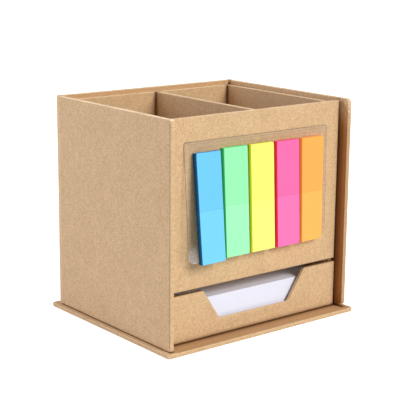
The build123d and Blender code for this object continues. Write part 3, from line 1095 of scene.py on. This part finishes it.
def flag_plastic(name, tone, painted_glow):
    """Fluorescent film flags. The gummed lower part is a little paler, below a fine line."""
    gummed_from = 0.52
    gummed_edge = 0.004
    line_width = 0.005
    line_share = 0.45
    line_level = 0.6
    paler_by = 0.22
    haze_per_metre = 220.0
    haze_share = 0.06
    haze_level = 0.8
    finish, start = new_finish(name)
    chart = start.node("ShaderNodeUVMap", {"uv_map": "sheet"}, {})
    down = 1.0 - start.node("ShaderNodeSeparateXYZ", {}, {0: chart}, "Y")
    lower = down.step(gummed_from, gummed_from + gummed_edge)
    line = 1.0 - (abs(down - gummed_from) / line_width).step(0.0, 1.0)
    haze = start.node("ShaderNodeTexCoord", {}, {}, "Object").cloud(haze_per_metre, 3.0)
    paler = [part * (1.0 + (1.0 - part) * paler_by) for part in tone]
    colour = start.tint(lower, shaded(tone, 1.0), shaded(paler, 1.0))
    colour = start.tint(haze * haze_share, colour, shaded(tone, haze_level))
    colour = start.tint(line * line_share, colour, shaded(tone, line_level))
    plastic = start.node(
        "ShaderNodeBsdfPrincipled",
        {},
        {
            "Base Color": colour,
            "Roughness": 0.42 + haze * 0.12,
            "Specular IOR Level": 0.25,
            # A faint painted glow stands in for the flags' fluorescence
            "Emission Color": colour,
            "Emission Strength": painted_glow,
        },
    )
    close_finish(start, plastic)
    return finish


def flag_edge(name, shaded_back_tone, glowing_front_tone, painted_glow):
    """A pad's cut edges in deeper dye, with painted shade at the back and a painted glow at the front."""
    front_ends = (0.15, 0.75)
    haze_per_metre = 700.0
    haze_share = 0.3
    haze_level = 0.85
    finish, start = new_finish(name)
    haze = start.node("ShaderNodeTexCoord", {}, {}, "Object").cloud(haze_per_metre, 2.0)
    ahead = start.node("ShaderNodeAttribute", {"attribute_name": "ahead"}, {}, "Fac")
    # Painted shade at the back of the edges, by the film, and a painted glow at the front
    colour = start.tint(ahead.step(*front_ends), shaded(shaded_back_tone, 1.0), shaded(glowing_front_tone, 1.0))
    colour = start.tint(haze * haze_share, colour, shaded(shaded_back_tone, haze_level))
    plastic = start.node(
        "ShaderNodeBsdfPrincipled",
        {},
        {
            "Base Color": colour,
            "Roughness": 0.5 + haze * 0.1,
            "Specular IOR Level": 0.1,
            "Emission Color": colour,
            "Emission Strength": painted_glow,
        },
    )
    close_finish(start, plastic)
    return finish


# Each colour's face, its sides in painted shade at the back and painted glow at the front, and the glow
flag_tones = {
    "blue": ((0.14, 0.54, 0.85), (0.002, 0.025, 0.09), (0.0, 0.16, 0.55), 0.0),
    "green": ((0.29, 0.87, 0.42), (0.0, 0.34, 0.04), (0.04, 1.0, 0.26), 0.2),
    "yellow": ((0.90, 0.90, 0.166), (0.18, 0.17, 0.0), (1.0, 1.0, 0.03), 0.3),
    "pink": ((0.88, 0.14, 0.387), (0.34, 0.006, 0.0), (1.0, 0.035, 0.07), 0.45),
    "orange": ((0.90, 0.40, 0.078), (0.72, 0.14, 0.03), (0.95, 0.42, 0.08), 0.35),
}
flag_painted_glow = 0.06
flag_sheets = 20
flag_pad_thickness = 0.0023
flag_pitch = flag_pad_thickness / flag_sheets
flag_sheet_share = 0.92
flag_slip = 0.00004
flag_corner = 0.0001
flag_columns = 3
flag_rows = 24
flag_drop = 0.0006
flag_drop_shares = (1.0, 0.0, 0.1, 0.3, 0.5)
flag_first_seed = 20
for number, colour in enumerate(flag_colours):
    face_tone, edge_shaded_tone, edge_glowing_tone, edge_painted_glow = flag_tones[colour]
    pad_left, pad_right = flag_edges_x[number]
    pad = flat_sheet(
        "pad_" + colour,
        left=pad_left + flag_slip,
        right=pad_right - flag_slip,
        top=film_high.z - film_top_margin - flag_drop * flag_drop_shares[number],
        height=flag_height,
        top_corner=flag_corner,
        low_corner=flag_corner,
        columns=flag_columns,
        rows=flag_rows,
    )
    hang_sheets(
        pad,
        stand_off=film_thickness,
        sheet=flag_pitch * flag_sheet_share,
        pitch=flag_pitch,
        sheets=flag_sheets,
        slip=flag_slip,
        seed=flag_first_seed + number,
        face=flag_plastic("flag_" + colour, face_tone, flag_painted_glow),
        edge=flag_edge("flag_edge_" + colour, edge_shaded_tone, edge_glowing_tone, edge_painted_glow),
    )
    dress(pad, "flags_" + colour, "holder", "flag_pad_" + colour)

# Photo table
# A wide white sheet on which the holder stands, seen by a camera placed as the photograph's was. Soft light
# falls from the front right, from above, and, cooler, from behind on the left.


def seen_share(start):
    """1 for what the camera sees straight or in a reflection, and 0 for light that falls on the holder."""
    straight = start.node("ShaderNodeLightPath", {}, {}, "Is Camera Ray")
    reflected = start.sum("MAXIMUM", straight.other_output("Is Glossy Ray"), straight)
    return start.sum("MAXIMUM", reflected, straight.other_output("Is Transmission Ray"))


white = (1.0, 1.0, 1.0, 1.0)
black = (0.0, 0.0, 0.0, 1.0)
table_half = 6.0
table_dark = (0.78, 0.78, 0.78, 1.0)
table_pale = (0.80, 0.80, 0.80, 1.0)
table_clouds_per_metre = 3.0
table_glow = 0.85
table_corners = [(table_half * x, table_half * y, 0.0) for x, y in ((-1, -1), (1, -1), (1, 1), (-1, 1))]
table_mesh = bpy.data.meshes.new("floor")
table_mesh.from_pydata(table_corners, [], [(0, 1, 2, 3)])
white_table, start = new_finish("white_table")
table_haze = start.node("ShaderNodeTexCoord", {}, {}, "Object").cloud(table_clouds_per_metre, 1.0)
table_sheet = start.node(
    "ShaderNodeBsdfPrincipled",
    {},
    {
        "Base Color": start.tint(table_haze, table_dark, table_pale),
        "Roughness": 0.9,
        "Specular IOR Level": 0.1,
        "Emission Color": start.tint(seen_share(start), black, white),
        "Emission Strength": table_glow,
    },
)
close_finish(start, table_sheet)
floor = new_piece("floor", table_mesh, [white_table])

room_light = 0.12
world = bpy.data.worlds.new("studio")
world.use_nodes = True
world.node_tree.nodes.clear()
bpy.context.scene.world = world
sky = Reading(world.node_tree)
strength = seen_share(sky) * (1.0 - room_light) + room_light
backdrop = sky.node("ShaderNodeBackground", {}, {"Color": white, "Strength": strength})
sky.node("ShaderNodeOutputWorld", {}, {"Surface": backdrop})


def soft_lamp(name, towards, distance, size, watts, tone):
    """A square lamp that faces the middle of the holder."""
    lamp_data = bpy.data.lights.new(name, "AREA")
    lamp_data.size = size
    lamp_data.energy = watts
    lamp_data.color = tone
    lamp = bpy.data.objects.new(name, lamp_data)
    bpy.context.scene.collection.objects.link(lamp)
    target = (cad_low + cad_high) / 2
    away = Vector(towards).normalized()
    lamp.location = target + away * distance
    lamp.rotation_euler = away.to_track_quat("Z", "Y").to_euler()


soft_lamp("key", towards=(0.2, -0.85, 0.5), distance=3.0, size=1.4, watts=74.0, tone=(1.0, 1.0, 0.98))
soft_lamp("top", towards=(0.0, 0.0, 1.0), distance=1.2, size=0.9, watts=5.0, tone=(0.98, 0.99, 1.0))
soft_lamp("left_back", towards=(-0.8, 0.5, 0.3), distance=1.2, size=0.9, watts=10.0, tone=(0.85, 0.88, 1.0))

photo_width_px = 400
focal_px = 1194.7
sensor_mm = 36.0
nearest_seen = 0.01
camera_place = (-0.31494, -0.39248, 0.16439)
azimuth = math.radians(38.603)
drop = math.radians(12.890)
roll = math.radians(0.491)
ahead = Vector((math.sin(azimuth) * math.cos(drop), math.cos(azimuth) * math.cos(drop), -math.sin(drop)))
level_right = Vector((math.cos(azimuth), -math.sin(azimuth), 0.0))
level_up = level_right.cross(ahead)
right = level_right * math.cos(roll) + level_up * math.sin(roll)
up = level_up * math.cos(roll) - level_right * math.sin(roll)
camera_turn = Matrix((right, up, -ahead)).transposed().to_4x4()
camera_data = bpy.data.cameras.new("camera")
camera_data.sensor_width = sensor_mm
camera_data.lens = focal_px / photo_width_px * sensor_mm
camera_data.clip_start = nearest_seen
camera = bpy.data.objects.new("camera", camera_data)
bpy.context.scene.collection.objects.link(camera)
camera.matrix_world = Matrix.Translation(camera_place) @ camera_turn
bpy.context.scene.camera = camera
bpy.context.scene.view_settings.view_transform = "Standard"
